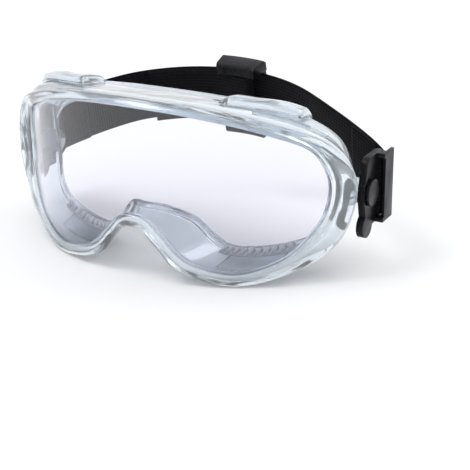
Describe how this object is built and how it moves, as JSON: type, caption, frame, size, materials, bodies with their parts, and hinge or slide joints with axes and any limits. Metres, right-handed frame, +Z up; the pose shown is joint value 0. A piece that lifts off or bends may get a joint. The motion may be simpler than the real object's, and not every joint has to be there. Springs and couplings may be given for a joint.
{
  "type": "sports protective goggles",
  "caption": "Clear wraparound splash goggles: soft vented frame, panoramic lens, swivelling strap clips and an elastic headband with a sliding adjuster.",
  "frame": {"origin": "centre of the overall box, on the surface that the rim's lower edge stands on", "axes": "+X to the wearer's left, +Y towards the wearer's head, +Z up"},
  "size_m": [0.1718, 0.1068, 0.0754],
  "materials": {
    "clear_frame": "clear soft PVC, glossy, faint steel-blue tint in thick sections",
    "clear_lens": "clear polycarbonate, polished, faint lavender tint",
    "black_buckle": "moulded black nylon, satin to gloss",
    "elastic": "woven black elastic webbing"
  },
  "bodies": {
    "goggle": {"frame": "clear_frame", "lens": "clear_lens", "upper_vent_cover_left": "clear_frame", "upper_vent_cover_right": "clear_frame", "upper_vent_baffle_left": "clear_frame", "upper_vent_baffle_right": "clear_frame", "lower_vent_comb_left": "clear_frame", "lower_vent_comb_right": "clear_frame", "lower_vent_cover_left": "clear_frame", "lower_vent_cover_right": "clear_frame", "clip_retainer_left": "black_buckle", "clip_retainer_right": "black_buckle"},
    "headband": {"strap_clip_left": "black_buckle", "strap_clip_right": "black_buckle", "strap_band": "elastic"},
    "adjuster": {"strap_tail": "elastic", "strap_slider": "black_buckle"}
  },
  "joints": [
    {"name": "headband_swing", "type": "hinge", "parent": "goggle", "child": "headband", "pos_m": [0, -0.00325, 0.0338], "axis": [1, 0, 0], "range_deg": [-15, 15]},
    {"name": "adjuster_travel", "type": "hinge", "parent": "headband", "child": "adjuster", "pos_m": [-0.003, -0.03092, 0.03109], "axis": [0, -0.2588, 0.9659], "range_deg": [-8, 3]}
  ]
}
